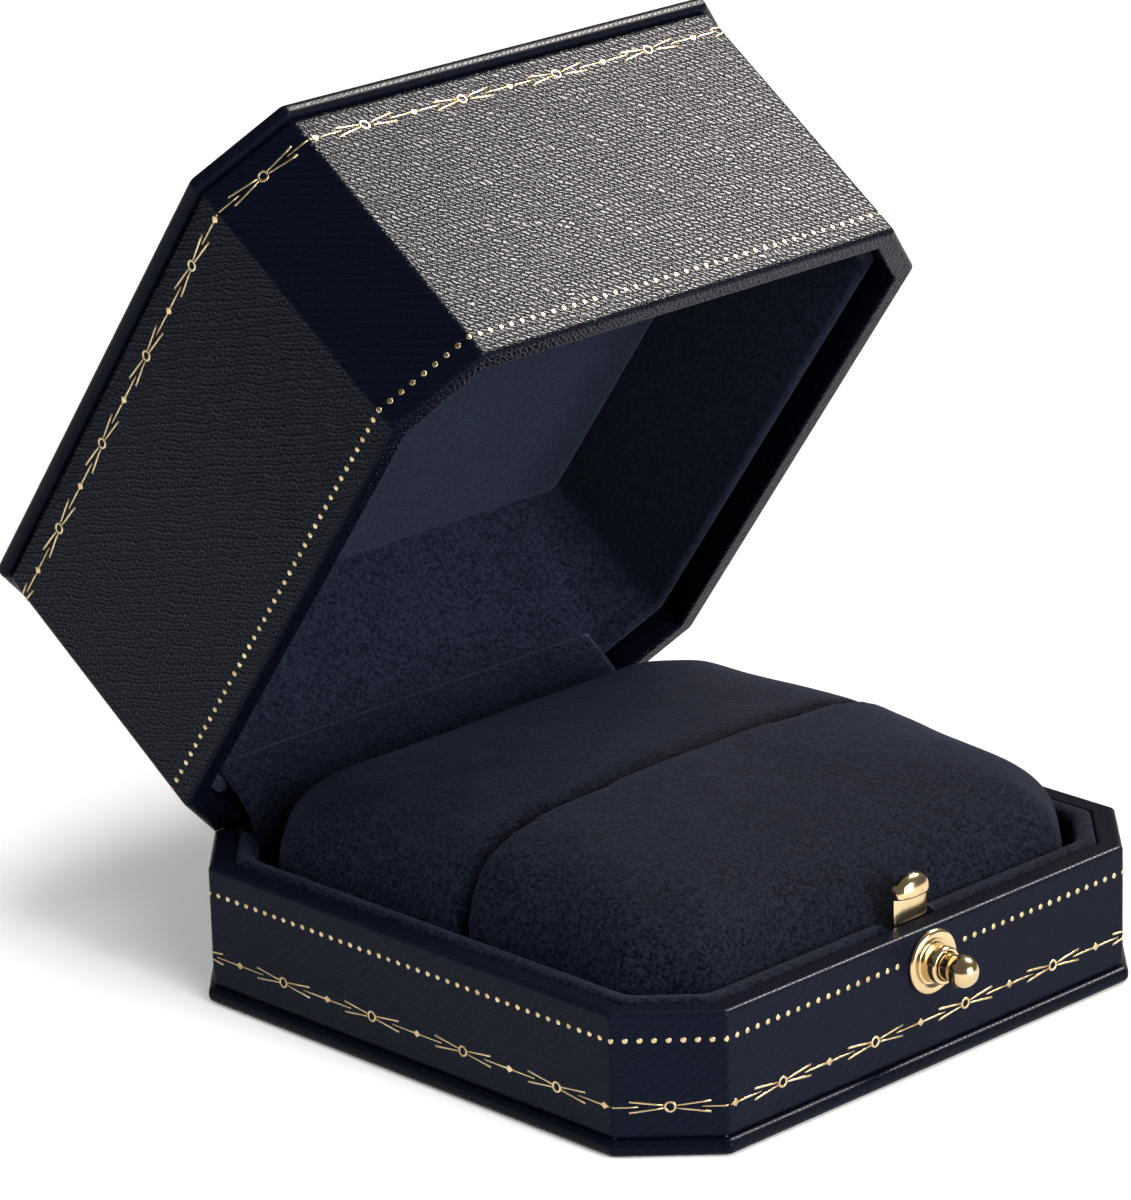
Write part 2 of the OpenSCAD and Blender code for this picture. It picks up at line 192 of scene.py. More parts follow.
def leather_material(name, base, light, grain, roughness):
    """Cross-grained leatherette: short dashes in diagonal rows, a little uneven.

    UVs run in millimetres along and across each panel.
    """
    n = Nodes(name)
    uv = n.add("ShaderNodeUVMap", uv_map="panel").outputs["UV"]

    def pushed(place, push, amount):
        return n.add("ShaderNodeVectorMath", {0: push, 1: (amount, amount, 0), 2: place},
                     operation="MULTIPLY_ADD").outputs[0]

    drift = n.noise(uv, 0.3, 3.0, 0.55, output="Color")
    shiver = n.noise(uv, 1.6, 1.0, output="Color")
    uneven = pushed(pushed(uv, drift, 1.6), shiver, 0.3)
    turned = n.add("ShaderNodeMapping", {
        "Vector": uneven, "Rotation": (0, 0, math.radians(GRAIN_ANGLE))}).outputs["Vector"]
    dashes = n.add("ShaderNodeTexBrick", {
        "Vector": turned, "Scale": 1.0, "Mortar Size": 0.16, "Mortar Smooth": 1.0, "Bias": 0.0,
        "Brick Width": GRAIN_DASH[0], "Row Height": GRAIN_DASH[1]}).outputs["Fac"]
    across = n.add("ShaderNodeSeparateXYZ", {0: turned}).outputs["Y"]
    pairs = n.math("SINE", n.math("MULTIPLY", across, math.pi / GRAIN_DASH[1]))
    pebble = n.math("MULTIPLY_ADD", pairs, 0.4, n.math("SUBTRACT", 1.0, dashes))
    fine = n.noise(uv, 7.0, 3.0, 0.6)
    height = n.math("MULTIPLY_ADD", fine, 0.25, pebble)
    normal = n.bump(height, grain, 0.0001)
    wobble = n.noise(uv, 0.25, 3.0)
    tone = n.math("MULTIPLY_ADD", wobble, 0.5, n.math("MULTIPLY", pebble, 0.5))
    colour = n.ramp(tone, (0.2, base), (0.8, light))
    shine = n.math("MULTIPLY_ADD", dashes, 0.22, roughness)
    return n.set(Base_Color=colour, Roughness=shine, Normal=normal, Specular_IOR_Level=0.05,
                 Specular_Tint=(0.62, 0.76, 1.0))


def velvet_material(name, dark, light, sheen):
    """Short-pile velvet: fine fibre bump, brushed patches and sheen."""
    n = Nodes(name)
    place = n.add("ShaderNodeTexCoord").outputs["Object"]
    patches = n.noise(place, 130, 3.0, 0.55, 0.4)
    fibres = n.noise(place, 2700, 1.0, 0.6)
    nap = n.noise(place, 1100, 3.0, 0.65)
    tone = n.math("MULTIPLY_ADD", nap, 0.22, n.math("MULTIPLY", fibres, 0.66))
    tone = n.math("MULTIPLY_ADD", patches, 0.12, tone)
    colour = n.ramp(tone, (0.38, dark), (0.62, light))
    height = n.math("MULTIPLY_ADD", fibres, 0.6, nap)
    normal = n.bump(height, 0.5, 0.0002)
    return n.set(Base_Color=colour, Roughness=0.95, Normal=normal, Specular_IOR_Level=0.04,
                 Sheen_Weight=sheen, Sheen_Roughness=0.5, Sheen_Tint=(0.35, 0.42, 0.7))


def metal_material(name, dark, light, roughness, scratches=0.05):
    """Polished metal or foil with a faint smear and fine scratches."""
    n = Nodes(name)
    place = n.add("ShaderNodeTexCoord").outputs["Object"]
    smear = n.noise(place, 260, 3.0, 0.6)
    fine = n.noise(place, 2600, 2.0, 0.6)
    colour = n.ramp(smear, (0.3, dark), (0.7, light))
    rough = n.math("MULTIPLY_ADD", smear, 0.12, roughness)
    normal = n.bump(fine, scratches, 0.00003)
    return n.set(Base_Color=colour, Metallic=1.0, Roughness=rough, Normal=normal)


def board_material(name):
    """Grey board with paper fibres."""
    n = Nodes(name)
    place = n.add("ShaderNodeTexCoord").outputs["Object"]
    fibres = n.noise(place, 900, 4.0, 0.65)
    colour = n.ramp(fibres, (0.3, (0.3, 0.28, 0.25)), (0.7, (0.5, 0.47, 0.42)))
    return n.set(Base_Color=colour, Roughness=0.9, Normal=n.bump(fibres, 0.3, 0.00005))


NAVY = ((0.001, 0.0014, 0.0036), (0.0018, 0.0024, 0.006))
# The base's walls get the same navy painted lighter, a painted stand-in for the light they get; the lid
# and the plates keep the plain navy.
NAVY_BASE_LIT = ((0.0021, 0.0027, 0.006), (0.0032, 0.0041, 0.0092))
LEATHER = leather_material("leather", *NAVY, 0.48, 0.16)
LEATHER_BASE_LIT = leather_material("leather_base_lit", *NAVY_BASE_LIT, 0.05, 0.26)
LEATHER_PLATE = leather_material("leather_plate", *NAVY, 0.06, 0.26)
# The lining's velvet is the pads' velvet painted lighter, a painted stand-in for the light in the lid's
# lining and on the flap.
VELVET_LINING_LIT = velvet_material("velvet_lining_lit", (0.0022, 0.003, 0.0068), (0.0095, 0.0122, 0.0222), 0.12)
VELVET_PAD = velvet_material("velvet_pad", (0.0002, 0.0005, 0.0018), (0.0056, 0.0073, 0.0138), 0.06)
# Brass is painted darker than real brass: painted shade standing in for the dark surroundings it
# reflects.
BRASS = metal_material("brass", (0.52, 0.38, 0.2), (0.68, 0.53, 0.31), 0.1)
GILT = metal_material("gilt", (0.36, 0.25, 0.12), (0.72, 0.56, 0.33), 0.3, 0.4)
STEEL = metal_material("steel", (0.4, 0.4, 0.42), (0.6, 0.6, 0.62), 0.3)
BOARD = board_material("greyboard")


# ---------------------------------------------------------------- mesh helpers
def finished(mesh, name, outwards=True):
    """Moves a bmesh into new mesh data, with its faces turned outwards unless told not to."""
    if outwards:
        bmesh.ops.recalc_face_normals(mesh, faces=mesh.faces)
    data = bpy.data.meshes.new(name)
    mesh.to_mesh(data)
    mesh.free()
    return data


def quarter(steps, first=0):
    """Angles over a quarter turn in even steps, in radians."""
    return [math.radians(90 / steps * s) for s in range(first, steps + 1)]


def circle_angles(sides):
    return [math.tau * s / sides for s in range(sides)]


def apply_modifiers(piece):
    """Replaces the mesh by its evaluated self and clears the modifiers."""
    bpy.context.view_layer.update()
    evaluated = piece.evaluated_get(bpy.context.evaluated_depsgraph_get())
    done = bpy.data.meshes.new_from_object(evaluated)
    piece.modifiers.clear()
    piece.data = done


def cut_box(piece, low, high):
    """Cuts a box out of one of the lid's pieces. Its corners are where they lie with the lid closed."""
    mesh = bmesh.new()
    bmesh.ops.create_cube(mesh, size=1)
    for v in mesh.verts:
        v.co = Vector(a if c < 0 else b for a, b, c in zip(low, high, v.co))
    mesh.transform(Matrix.Scale(MM, 4) @ OPENED)
    data = finished(mesh, "cutter", outwards=False)
    cutter = bpy.data.objects.new("cutter", data)
    scene.collection.objects.link(cutter)
    cut = piece.modifiers.new("cut", "BOOLEAN")
    cut.operation, cut.solver, cut.object = "DIFFERENCE", "EXACT", cutter
    apply_modifiers(piece)
    bpy.data.objects.remove(cutter)
    bpy.data.meshes.remove(data)


def new_piece(name, mesh_data, body, material, replaces=(), opened=False, sharp=None, cut=None):
    """Links a mesh built in millimetres, opens the lid's pieces, and lets it ride on a body."""
    matrix = Matrix.Scale(MM, 4) @ (OPENED if opened else Matrix.Identity(4))
    mesh_data.transform(matrix)
    mesh_data.shade_smooth()
    if sharp:
        mesh_data.set_sharp_from_angle(angle=math.radians(sharp))
    mesh_data.materials.append(material)
    piece = bpy.data.objects.new(name, mesh_data)
    scene.collection.objects.link(piece)
    if cut:
        cut_box(piece, *cut)
    if body:
        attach(piece, body)
    if replaces:
        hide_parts(*replaces)
    return piece


def octagon_loop(half, cut, radius, steps=4, shoulder=0.12, flats=None):
    """Points of an octagon with rounded corners, anticlockwise from the middle of the back flat.

    flats gives more points on a flat, as distances along it from its middle, by the flat's number:
    0 back, 1 back left, 2 left, 3 front left, 4 front, 5 front right, 6 right, 7 back right.
    """
    k = half - cut
    corners = [Vector(p) for p in (
        (-k, half), (-half, k), (-half, -k), (-k, -half), (k, -half), (half, -k), (half, k), (k, half))]
    flats = flats or {}
    points = []
    middle = (corners[0] + corners[7]) / 2
    points.append(middle)

    def along(i, distances):
        a, b = corners[i - 1], corners[i]
        direction = (b - a).normalized()
        return [(a + b) / 2 + direction * d for d in distances]

    points += along(0, [d for d in flats.get(0, ()) if d > 0])
    for i in range(8):
        before, here, after = corners[i - 1], corners[i], corners[(i + 1) % 8]
        d_in, d_out = (here - before).normalized(), (after - here).normalized()
        reach = radius * TAN_22
        points.append(here - d_in * (reach + shoulder))
        centre = here - d_in * reach + Vector((-d_in.y, d_in.x)) * radius
        first = math.atan2(d_in.y, d_in.x) - math.pi / 2
        for s in range(steps + 1):
            a = first + math.radians(45) * s / steps
            points.append(centre + radius * Vector((math.cos(a), math.sin(a))))
        points.append(here + d_out * (reach + shoulder))
        if i < 7:
            points += along(i + 1, flats.get(i + 1, ()))
    points += along(0, [d for d in flats.get(0, ()) if d < 0])
    return points


def loop_lengths(points):
    """Distance along a closed loop to each of its points, and its whole length last."""
    out = [0.0]
    for a, b in zip(points, points[1:] + points[:1]):
        out.append(out[-1] + (b - a).length)
    return out


def cut_at(half):
    """Corner cut of an octagon whose flats lie at the given distance from the middle."""
    return CUT - (HALF - half) * (2 - math.sqrt(2))


def loft(name, rings, lengths, profile_lengths, closed_profile=True, skip=(), caps=False):
    """Faces between rings of points. UVs are the distances along the loop and along the profile."""
    mesh = bmesh.new()
    uv = mesh.loops.layers.uv.new("panel")
    grid = [[mesh.verts.new(p) for p in ring] for ring in rings]
    count = len(rings[0])
    pairs = [(j, j + 1) for j in range(len(rings) - 1)]
    if closed_profile:
        pairs.append((len(rings) - 1, 0))
    for j, up in pairs:
        v0, v1 = profile_lengths[j], profile_lengths[j + 1]
        for i in range(count):
            if i in skip:
                continue
            k = (i + 1) % count
            face = mesh.faces.new((grid[j][i], grid[j][k], grid[up][k], grid[up][i]))
            places = ((lengths[i], v0), (lengths[i + 1], v0), (lengths[i + 1], v1), (lengths[i], v1))
            for corner, place in zip(face.loops, places):
                corner[uv].uv = place
    if skip and caps:
        first, last = skip[0], skip[-1] + 1
        mesh.faces.new([row[first] for row in grid])
        mesh.faces.new([row[last % count] for row in reversed(grid)])
    bmesh.ops.delete(mesh, geom=[v for v in mesh.verts if not v.link_faces], context="VERTS")
    return finished(mesh, name, outwards=False)


def skin(mesh, rings):
    """Faces between rings of vertices, and over the first and the last."""
    for low, high in zip(rings, rings[1:]):
        for i in range(len(low)):
            k = (i + 1) % len(low)
            mesh.faces.new((low[i], low[k], high[k], high[i]))
    mesh.faces.new(rings[-1])
    mesh.faces.new(list(reversed(rings[0])))


def capped(data, flat_uv=False):
    """Fills a loft's open ends. flat_uv lays out its level faces by x and y."""
    mesh = bmesh.new()
    mesh.from_mesh(data)
    uv = mesh.loops.layers.uv["panel"]
    bmesh.ops.holes_fill(mesh, edges=[e for e in mesh.edges if e.is_boundary], sides=0)
    for face in mesh.faces if flat_uv else ():
        if abs(face.normal.z) > 0.9:
            for corner in face.loops:
                corner[uv].uv = corner.vert.co.xy
    bmesh.ops.recalc_face_normals(mesh, faces=mesh.faces)
    mesh.to_mesh(data)
    mesh.free()
    return data


def profile_distances(profile):
    """Distance along a closed profile to each of its points, and its whole length last."""
    out = [0.0]
    for a, b in zip(profile, profile[1:] + profile[:1]):
        out.append(out[-1] + math.dist(a, b))
    return out


def swept_octagon(name, profile, radius_at, shape=None, flats=None, skip=()):
    """Sweeps a profile of (inset, z) points round the octagon. shape may move each point."""
    rings = []
    for inset, z in profile:
        half = HALF - inset
        ring = []
        for p in octagon_loop(half, cut_at(half), radius_at(inset), flats=flats):
            point = Vector((p.x, p.y, z))
            ring.append(shape(point, inset) if shape else point)
        rings.append(ring)
    lengths = loop_lengths(octagon_loop(HALF, CUT, radius_at(0), flats=flats))
    return loft(name, rings, lengths, profile_distances(profile), skip=skip, caps=bool(skip))


# ---------------------------------------------------------------- leather shells
EDGE_R = 0.5
INNER_EDGE_R = 0.35
SKIN = 0.38
TURN_IN = 0.28
BEVEL_REACH = 1.27  # along a corner's flat from its edge to the hinge axis's plane


def shell_profile(foot, rim, inner_foot):
    """Closed leather profile of (inset, z) points: up the outer wall, over the rim and down inside."""
    up = 1 if rim > foot else -1
    edge = rim - up * EDGE_R
    points = [(SKIN, foot), (0.45, foot), (0.22, foot + up * 0.1), (0.06, foot + up * 0.3)]
    points += [(0, foot + up * 0.6), (0, foot + up * 0.75), (0, edge - up * 0.1)]
    points += [(EDGE_R - EDGE_R * math.cos(a), edge + up * EDGE_R * math.sin(a)) for a in quarter(6)]
    points += [(0.62, rim), (HALF - HINGE.y, rim), (WALL - 0.45, rim)]
    points += [(WALL - INNER_EDGE_R + INNER_EDGE_R * math.sin(a),
                rim - up * INNER_EDGE_R * (1 - math.cos(a))) for a in quarter(4)]
    points += [(WALL, rim - up * 0.45), (WALL, inner_foot), (WALL - TURN_IN, inner_foot)]
    points += [(WALL - TURN_IN, rim - up * SKIN), (SKIN, rim - up * SKIN)]
    return points


def shell_radius(inset):
    """Corner radius of a leather shell, smaller further in."""
    return max(0.7 - inset * 0.18, 0.25)


def bevelled(side):
    """Bevels the back edge of a rim for the open lid; side is -1 below the hinge, 1 above."""
    def shape(p, _):
        if p.y > HINGE.y:
            edge = HINGE.z + side * (p.y - HINGE.y) * BEVEL_TAN
            p.z = min(p.z, edge) if side < 0 else max(p.z, edge)
        return p
    return shape


CORNER_STATIONS = {1: (-CUT / math.sqrt(2) + BEVEL_REACH,), 7: (CUT / math.sqrt(2) - BEVEL_REACH,)}

new_piece(
    "base_leather",
    swept_octagon("base_leather", shell_profile(PLATE_Z, RIM_Z, PLATE_Z + 3), shell_radius, bevelled(-1),
                  CORNER_STATIONS),
    "base", LEATHER_BASE_LIT, ["base_cover"])
lid_profile = shell_profile(LID_Z1, LID_Z0, LID_Z0 + 8)
lid_data = swept_octagon("lid_leather", lid_profile, shell_radius, bevelled(1), CORNER_STATIONS)
lid_data.flip_normals()
STRIKE_W = 9.0
STRIKE_Z = (LID_Z0 + 0.8, LID_Z0 + 6.4)
new_piece("lid_leather", lid_data, "lid", LEATHER, ["lid_cover"], opened=True,
          cut=((-STRIKE_W / 2, WALL - 0.5 - HALF, STRIKE_Z[0]),
               (STRIKE_W / 2, WALL + 1 - HALF, STRIKE_Z[1])))


# ---------------------------------------------------------------- wrapped plates
def plate_mesh(name, z0, z1):
    """Board wrapped in leather: rounded edges and a barely cushioned face."""
    over = PLATE_OVER
    thick = z1 - z0
    r = thick * 0.42
    layers = [(30, z0), (6, z0), (r + 0.25 - over, z0)]
    layers += [(r - r * math.sin(a) - over, z0 + r - r * math.cos(a)) for a in quarter(6)]
    layers += [(r - r * math.cos(a) - over, z1 - r + r * math.sin(a)) for a in quarter(6)]
    layers += [(r + 0.25 - over, z1), (6, z1), (30, z1)]
    rings = []
    for inset, z in layers:
        half = HALF - inset
        cut = max(cut_at(half), half * 0.2)
        ring = octagon_loop(half, cut, min(0.8, half * 0.2) if inset < 20 else 0.4)
        rings.append([Vector((p.x, p.y, z)) for p in ring])
    lengths = loop_lengths(octagon_loop(HALF + over, cut_at(HALF + over), 0.8))
    data = loft(name, rings, lengths, profile_distances(layers), closed_profile=False)
    return capped(data, flat_uv=True)


plate_low, plate_high = box_mm("bottom_plate")
new_piece("bottom_wrap", plate_mesh("bottom_wrap", plate_low.z, plate_high.z), "base", LEATHER_PLATE,
          ["bottom_plate"])
PLATE_T = plate_high.z - plate_low.z
new_piece("top_wrap", plate_mesh("top_wrap", LID_Z1, LID_Z1 + PLATE_T), "lid", LEATHER_PLATE,
          ["top_plate"], opened=True)


# ---------------------------------------------------------------- velvet walls
COLLAR_FOOT = 3.0
COLLAR_DIP = 1.9


def collar_shape(p, _):
    """Lowers the collar's top behind the back pad, where the flap goes down."""
    behind_pad, above_skirt = p.y > 25, p.z > 8
    if behind_pad and above_skirt and abs(p.x) < FLAP_W / 2 + 0.8:
        p.z -= COLLAR_DIP
    return p


def soft_radius(start, inner, sharp, soft):
    """Corner radius by inset: sharp against the wall, soft on the lining's inner face."""
    return lambda inset: sharp + (soft - sharp) * min(max((inset - start) / (inner - start), 0), 1)


COLLAR_IN = WALL + COLLAR_T
collar_profile = [(WALL + GLUE_GAP, COLLAR_FOOT), (WALL + GLUE_GAP, COLLAR_HIGH - 0.8)]
collar_profile += [(WALL + GLUE_GAP + 0.7 * (1 - math.cos(a)), COLLAR_HIGH - 0.7 + 0.7 * math.sin(a))
                   for a in quarter(5, 1)]
collar_profile += [(COLLAR_IN - 0.8 + 0.8 * math.sin(a), COLLAR_HIGH - 0.8 * (1 - math.cos(a)))
                   for a in quarter(5, 1)]
collar_profile += [(COLLAR_IN, COLLAR_HIGH - 1.0), (COLLAR_IN, COLLAR_FOOT)]
half_notch = NOTCH_W / 2
flap_edge = FLAP_W / 2 + 0.6
collar_flats = {
    0: (-flap_edge - 0.4, -flap_edge, flap_edge, flap_edge + 0.4),
    4: (-half_notch - 0.5, -half_notch, half_notch, half_notch + 0.5),
}
probe = octagon_loop(HALF - WALL, cut_at(HALF - WALL), 0.5, flats=collar_flats)
notch_at = next(i for i, p in enumerate(probe) if p.y < 0 and abs(p.x + half_notch) < 0.01)
new_piece(
    "velvet_collar",
    swept_octagon("velvet_collar", collar_profile, soft_radius(WALL, COLLAR_IN, 0.6, 3.2), collar_shape,
                  collar_flats, skip=(notch_at,)),
    "base", VELVET_PAD, ["base_collar"])

LINER_Z0 = LID_Z0 + LINER_DEPTH
LINER_IN = WALL + LINER_T
CEILING_Z = LID_Z0 + CEILING_DEPTH
FLAP_GRIP = 2.4
PANEL_FOOT = LINER_Z0 + FLAP_GRIP + 0.1
PANEL_LEAN = 6.2  # how far forward the back panel stands at the ceiling
PANEL_LIP = 0.8  # and at its foot
LIP_RISE = 0.35
LINER_TOP = LID_Z1 - 3  # hidden above the ceiling


def back_panel(p, inset):
    """Leans the lining of the lid's back wall forward, from a lip over the flap to the ceiling."""
    half = HALF - inset
    start = half - cut_at(half)
    if inset >= LINER_IN and p.y > start and p.z > PANEL_FOOT:
        rise = min((p.z - PANEL_FOOT) / (CEILING_Z - PANEL_FOOT), 1)
        lip = PANEL_LIP * math.sqrt(min((p.z - PANEL_FOOT) / LIP_RISE, 1))
        p.y -= (lip + (PANEL_LEAN - PANEL_LIP) * rise) * (p.y - start) / (half - start)
    return p


liner_profile = [(LINER_IN, LINER_TOP)]
liner_profile += [(LINER_IN, CEILING_Z - (CEILING_Z - PANEL_FOOT - 0.6) * s / 9) for s in range(10)]
liner_profile += [(LINER_IN, PANEL_FOOT + rise) for rise in (LIP_RISE, 0.2, 0.1, 0.03, 0, -0.2)]
liner_profile += [(LINER_IN, LINER_Z0 + 0.7)]
liner_profile += [(LINER_IN - 0.6 + 0.6 * math.cos(a), LINER_Z0 + 0.6 - 0.6 * math.sin(a))
                  for a in quarter(5)]
liner_profile += [(WALL + GLUE_GAP + 0.55 - 0.55 * math.sin(a), LINER_Z0 + 0.55 - 0.55 * math.cos(a))
                  for a in quarter(5)]
liner_profile += [(WALL + GLUE_GAP, LINER_Z0 + 0.7), (WALL + GLUE_GAP, LINER_TOP)]
new_piece(
    "velvet_liner",
    swept_octagon("velvet_liner", liner_profile, soft_radius(WALL, LINER_IN, 0.6, 2.4), back_panel),
    "lid", VELVET_LINING_LIT, ["lid_liner", "back_panel"], opened=True,
    cut=((-STRIKE_W / 2 - 0.4, -HALF, LID_Z0), (STRIKE_W / 2 + 0.4, 6 - HALF, STRIKE_Z[1] + 0.4)))


# ---------------------------------------------------------------- padded pieces
RIPPLE_SEED = 3.7


def ripple(p, scale, amount):
    """A soft random height at a point, with waves about as long as scale."""
    return amount * noise.noise(Vector((p[0] / scale, p[1] / scale, p[2] / scale + RIPPLE_SEED)))


def pad_rings(layers, corner):
    """Octagonal rings from (half width, z) layers, with evenly spaced points along the flats."""
    even = {}
    for i in range(8):
        span, number = (52, 14) if i % 2 == 0 else (8, 3)
        even[i] = [span * (s / number - 0.5) for s in range(1, number)]
    rings = []
    for half, z in layers:
        scale = half / layers[0][0]
        cut = cut_at(HALF - LINER_IN) * scale
        flats = {i: [d * scale for d in row if abs(d) > 0.01] for i, row in even.items()}
        ring = octagon_loop(half, cut, corner * scale, steps=5, flats=flats, shoulder=0.3 * scale)
        rings.append([Vector((p.x, p.y, z)) for p in ring])
    return rings


def ceiling_mesh():
    """Padded ceiling, seen from below: full to the liner and a little crowned."""
    edge, z = HALF - LINER_IN - 0.06, CEILING_Z
    layers = [(edge, z + 9), (edge, z + 1.4), (edge - 0.15, z + 0.8), (edge - 0.5, z + 0.35)]
    layers.append((edge - 1.1, z + 0.1))
    layers += [(edge - d, z - 0.35 * (1 - math.exp(-d / 6))) for d in (2, 4, 7, 11, 15, 20, 25, 29)]
    rings = pad_rings(layers, 2.3)
    rings = [[p + Vector((0, 0, ripple(p, 9, 0.12) if 3 < j else 0)) for p in ring]
             for j, ring in enumerate(rings)]
    return capped(loft("velvet_ceiling", rings, loop_lengths([p.xy for p in rings[0]]),
                       profile_distances(layers), closed_profile=False))


ceiling = new_piece("velvet_ceiling", ceiling_mesh(), "lid", VELVET_LINING_LIT, ["ceiling_pad"],
                    opened=True)

PAD_HALF = 30.3
PAD_LOW = 2.6
CROWN = 24.0
BACK_SHARE = (box_mm("back_pad")[1].y - 0.1) / PAD_HALF  # the cushion stops short of the flap
SIDE_TOP = 12.4
SOFT_REACH = 18  # how far from the slot the side's slope is full
# inset, height where the cushion is firm and height where it slopes away softly
CUSHION = ((0.5, PAD_LOW, PAD_LOW), (0.1, PAD_LOW + 0.7, PAD_LOW + 0.7), (0, 5, 5), (0, 9, 8.5),
           (0, 13, 12), (0.05, 15, 13.2), (0.2, 16.4, 14.2), (0.7, 18, 15.8), (1.4, 19.4, 17.2),
           (2.5, 20.7, 18.6), (4, 21.9, 19.9), (5.8, 22.7, 20.9), (8, 23.3, 21.8), (11, 23.7, 22.6),
           (15, 23.95, 23.3), (20, 24.05, 23.9), (26, 24.1, 24.1))


def softness(y):
    """How much the cushion's side slopes away: soft in front of the slot, half soft behind."""
    if y < SLOT_Y:
        return min((SLOT_Y - y + 2) / SOFT_REACH, 1)
    return 0.11 + 0.45 * min((y - SLOT_Y) / SOFT_REACH, 1)


def cushion_mesh(name, side, drop):
    """One half of the cushion, cut square at the ring slot; side is -1 in front, 1 behind."""
    mesh = bmesh.new()
    rings = []
    for inset, firm, soft in CUSHION:
        half = PAD_HALF - inset
        cut = max(cut_at(half) + 1.2, half * 0.18)
        row = [d * half / PAD_HALF for d in range(-16, 17, 4)]
        loop = octagon_loop(half, cut, min(3.4, half * 0.35), steps=6, shoulder=0.3,
                            flats={2: row, 6: row})
        ring = []
        for p in loop:
            z = firm + (soft - firm) * softness(p.y)
            z -= drop * max(z - SIDE_TOP, 0) / (CROWN - SIDE_TOP)
            ring.append(mesh.verts.new((p.x, p.y * (BACK_SHARE if p.y > 0 else 1), z)))
        rings.append(ring)
    skin(mesh, rings)
    geom = mesh.verts[:] + mesh.edges[:] + mesh.faces[:]
    cut = bmesh.ops.bisect_plane(mesh, geom=geom, plane_co=(0, SLOT_Y + side * SLOT_GAP / 2, 0),
                                 plane_no=(0, -side, 0), clear_outer=True)
    open_edges = [e for e in cut["geom_cut"] if isinstance(e, bmesh.types.BMEdge)]
    bmesh.ops.contextual_create(mesh, geom=open_edges)
    return finished(mesh, name)


VOXEL = 0.75
PUFF_CAP = 0.3
PUFF_FRAMES = 20
DENTS = ((11, 0.14), (4, 0.04))  # wave length and height


def remeshed(piece, voxel, smooth):
    """Gives the piece an even mesh and softens its edges."""
    remesh = piece.modifiers.new("remesh", "REMESH")
    remesh.mode, remesh.voxel_size, remesh.use_smooth_shade = "VOXEL", voxel, True
    soften = piece.modifiers.new("soften", "SMOOTH")
    soften.iterations, soften.factor = smooth, 0.5
    apply_modifiers(piece)


def puff(piece):
    """Inflates the velvet a little by a cloth simulation; no point moves further than the cap."""
    before = [v.co.copy() for v in piece.data.vertices]
    cloth = piece.modifiers.new("cloth", "CLOTH")
    cloth.settings.use_pressure = True
    cloth.settings.uniform_pressure_force = 4
    cloth.settings.effector_weights.gravity = 0
    cloth.settings.quality = 4
    cloth.collision_settings.use_collision = False
    cloth.point_cache.frame_start, cloth.point_cache.frame_end = 1, PUFF_FRAMES
    for step in range(1, PUFF_FRAMES + 1):
        scene.frame_set(step)
    apply_modifiers(piece)
    scene.frame_set(1)
    for vertex, start in zip(piece.data.vertices, before):
        move = vertex.co - start
        if move.length > PUFF_CAP * MM:
            vertex.co = start + move.normalized() * PUFF_CAP * MM


def make_pad(name, side, drop, node):
    """One half of the cushion: remeshed, puffed, a little dented and subdivided."""
    piece = new_piece(name, cushion_mesh(name, side, drop), None, VELVET_PAD)
    remeshed(piece, VOXEL * MM, 6)
    puff(piece)
    piece.data.materials.clear()
    piece.data.materials.append(VELVET_PAD)
    for vertex in piece.data.vertices:
        p = vertex.co / MM
        away = sum(ripple(p, scale, amount) for scale, amount in DENTS)
        vertex.co += vertex.normal * away * MM
    fine = piece.modifiers.new("fine", "SUBSURF")
    fine.levels = fine.render_levels = 1
    apply_modifiers(piece)
    piece.data.shade_smooth()
    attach(piece, "base")
    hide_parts(node)


make_pad("velvet_front_pad", -1, 0, "front_pad")
make_pad("velvet_back_pad", 1, 0.4, "back_pad")


# ---------------------------------------------------------------- sheets over the hinge
def opened_yz(y, z):
    """A y-z point of the closed lid, where it lies with the lid open."""
    p = OPENED @ Vector((0, y, z))
    return Vector((p.y, p.z))


def bezier(points, t):
    a, b, c, d = points
    return (1 - t) ** 3 * a + 3 * (1 - t) ** 2 * t * b + 3 * (1 - t) * t * t * c + t ** 3 * d


def resample(path, step):
    """Points at even distances along a path of y-z points."""
    out, carry = [path[0].copy()], 0.0
    for a, b in zip(path, path[1:]):
        span = (b - a).length
        d = step - carry
        while d < span:
            out.append(a + (b - a) * (d / span))
            d += step
        carry = span - (d - step)
    out.append(path[-1].copy())
    return out


EDGE_ROUND = 0.5  # how wide a strip's rounded side edges are


